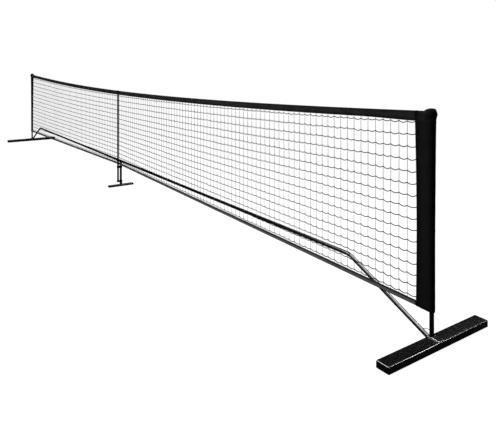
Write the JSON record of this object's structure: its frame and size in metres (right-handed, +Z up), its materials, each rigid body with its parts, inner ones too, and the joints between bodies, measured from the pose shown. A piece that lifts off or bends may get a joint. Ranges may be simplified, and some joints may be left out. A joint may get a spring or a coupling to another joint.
{
  "type": "portable pickleball net",
  "caption": "Black portable pickleball net: mesh with a fabric top band on a tubular steel frame with flat end feet, a raised level bar and a centre support.",
  "frame": {"origin": "on the ground at the middle of the net, half-way between the posts", "axes": "+X along the net towards the right post, +Y behind the net, +Z up; the net hangs on the -Y side of the frame"},
  "size_m": [6.809, 0.62, 0.939],
  "materials": {
    "gloss_black_steel": "gloss black enamel",
    "satin_black_steel": "satin black",
    "zinc_steel": "zinc plate",
    "black_plastic": "moulded, matte",
    "black_fabric": "woven polyester",
    "net_twine": "twisted twine",
    "cord": "braided"
  },
  "bodies": {
    "frame": {"bar_tube_1_left": "gloss_black_steel", "bar_tube_1_right": "gloss_black_steel", "bar_tube_2_left": "gloss_black_steel", "bar_tube_2_right": "gloss_black_steel", "bottom_hem": "black_fabric", "brace_stub_left": "gloss_black_steel", "brace_stub_right": "gloss_black_steel", "centre_foot": "gloss_black_steel", "centre_foot_cap_front": "black_plastic", "centre_foot_cap_rear": "black_plastic", "centre_loop": "black_fabric", "centre_socket": "gloss_black_steel", "corner_hood_left": "black_fabric", "corner_hood_right": "black_fabric", "elbow_left": "gloss_black_steel", "elbow_right": "gloss_black_steel", "foot_bolt_left": "satin_black_steel", "foot_bolt_right": "satin_black_steel", "foot_cap_front_left": "black_plastic", "foot_cap_front_right": "black_plastic", "foot_cap_rear_left": "black_plastic", "foot_cap_rear_right": "black_plastic", "foot_left": "gloss_black_steel", "foot_nut_left": "zinc_steel", "foot_nut_right": "zinc_steel", "foot_right": "gloss_black_steel", "hem_cord": "cord", "net_mesh": "net_twine", "post_bracket_left": "satin_black_steel", "post_bracket_right": "satin_black_steel", "post_cap_left": "black_plastic", "post_cap_right": "black_plastic", "post_left": "gloss_black_steel", "post_right": "gloss_black_steel", "rod_clip": "black_plastic", "rod_cup": "black_plastic", "sleeve_left": "black_fabric", "sleeve_right": "black_fabric", "tee_arms": "gloss_black_steel", "tee_riser": "gloss_black_steel", "top_band": "black_fabric", "top_cord": "cord", "wire_stay_left": "zinc_steel", "wire_stay_right": "zinc_steel"},
    "snap_button_post_right": {"button_post_right": "zinc_steel"},
    "snap_button_stub_right": {"button_stub_right": "zinc_steel"},
    "snap_button_bar_1_right": {"button_bar_1_right": "zinc_steel"},
    "snap_button_bar_2_right": {"button_bar_2_right": "zinc_steel"},
    "snap_button_bar_3_right": {"button_bar_3_right": "zinc_steel"},
    "snap_button_post_left": {"button_post_left": "zinc_steel"},
    "snap_button_stub_left": {"button_stub_left": "zinc_steel"},
    "snap_button_bar_1_left": {"button_bar_1_left": "zinc_steel"},
    "snap_button_bar_2_left": {"button_bar_2_left": "zinc_steel"},
    "snap_button_bar_3_left": {"button_bar_3_left": "zinc_steel"},
    "snap_button_centre": {"button_centre": "zinc_steel"},
    "rod": {"centre_rod": "gloss_black_steel", "rod_tip": "black_plastic"}
  },
  "joints": [
    {"name": "button_post_right_press", "type": "slide", "parent": "frame", "child": "snap_button_post_right", "axis": [0, -1, 0], "range_m": [0, 0.0048], "stiffness_N_per_m": 2500, "springref_m": -0.003},
    {"name": "button_stub_right_press", "type": "slide", "parent": "frame", "child": "snap_button_stub_right", "axis": [-0.4143, 0, -0.9102], "range_m": [0, 0.0048], "stiffness_N_per_m": 2500, "springref_m": -0.003},
    {"name": "button_bar_1_right_press", "type": "slide", "parent": "frame", "child": "snap_button_bar_1_right", "axis": [0, 0, -1], "range_m": [0, 0.0048], "stiffness_N_per_m": 2500, "springref_m": -0.003},
    {"name": "button_bar_2_right_press", "type": "slide", "parent": "frame", "child": "snap_button_bar_2_right", "axis": [0, 0, -1], "range_m": [0, 0.0048], "stiffness_N_per_m": 2500, "springref_m": -0.003},
    {"name": "button_bar_3_right_press", "type": "slide", "parent": "frame", "child": "snap_button_bar_3_right", "axis": [0, 0, -1], "range_m": [0, 0.0048], "stiffness_N_per_m": 2500, "springref_m": -0.003},
    {"name": "button_post_left_press", "type": "slide", "parent": "frame", "child": "snap_button_post_left", "axis": [0, -1, 0], "range_m": [0, 0.0048], "stiffness_N_per_m": 2500, "springref_m": -0.003},
    {"name": "button_stub_left_press", "type": "slide", "parent": "frame", "child": "snap_button_stub_left", "axis": [0.4143, 0, -0.9102], "range_m": [0, 0.0048], "stiffness_N_per_m": 2500, "springref_m": -0.003},
    {"name": "button_bar_1_left_press", "type": "slide", "parent": "frame", "child": "snap_button_bar_1_left", "axis": [0, 0, -1], "range_m": [0, 0.0048], "stiffness_N_per_m": 2500, "springref_m": -0.003},
    {"name": "button_bar_2_left_press", "type": "slide", "parent": "frame", "child": "snap_button_bar_2_left", "axis": [0, 0, -1], "range_m": [0, 0.0048], "stiffness_N_per_m": 2500, "springref_m": -0.003},
    {"name": "button_bar_3_left_press", "type": "slide", "parent": "frame", "child": "snap_button_bar_3_left", "axis": [0, 0, -1], "range_m": [0, 0.0048], "stiffness_N_per_m": 2500, "springref_m": -0.003},
    {"name": "button_centre_press", "type": "slide", "parent": "frame", "child": "snap_button_centre", "axis": [0, -1, 0], "range_m": [0, 0.0052], "stiffness_N_per_m": 2500, "springref_m": -0.003},
    {"name": "centre_rod_lift", "type": "slide", "parent": "frame", "child": "rod", "axis": [0, 0, 1], "range_m": [0, 0.1]}
  ]
}
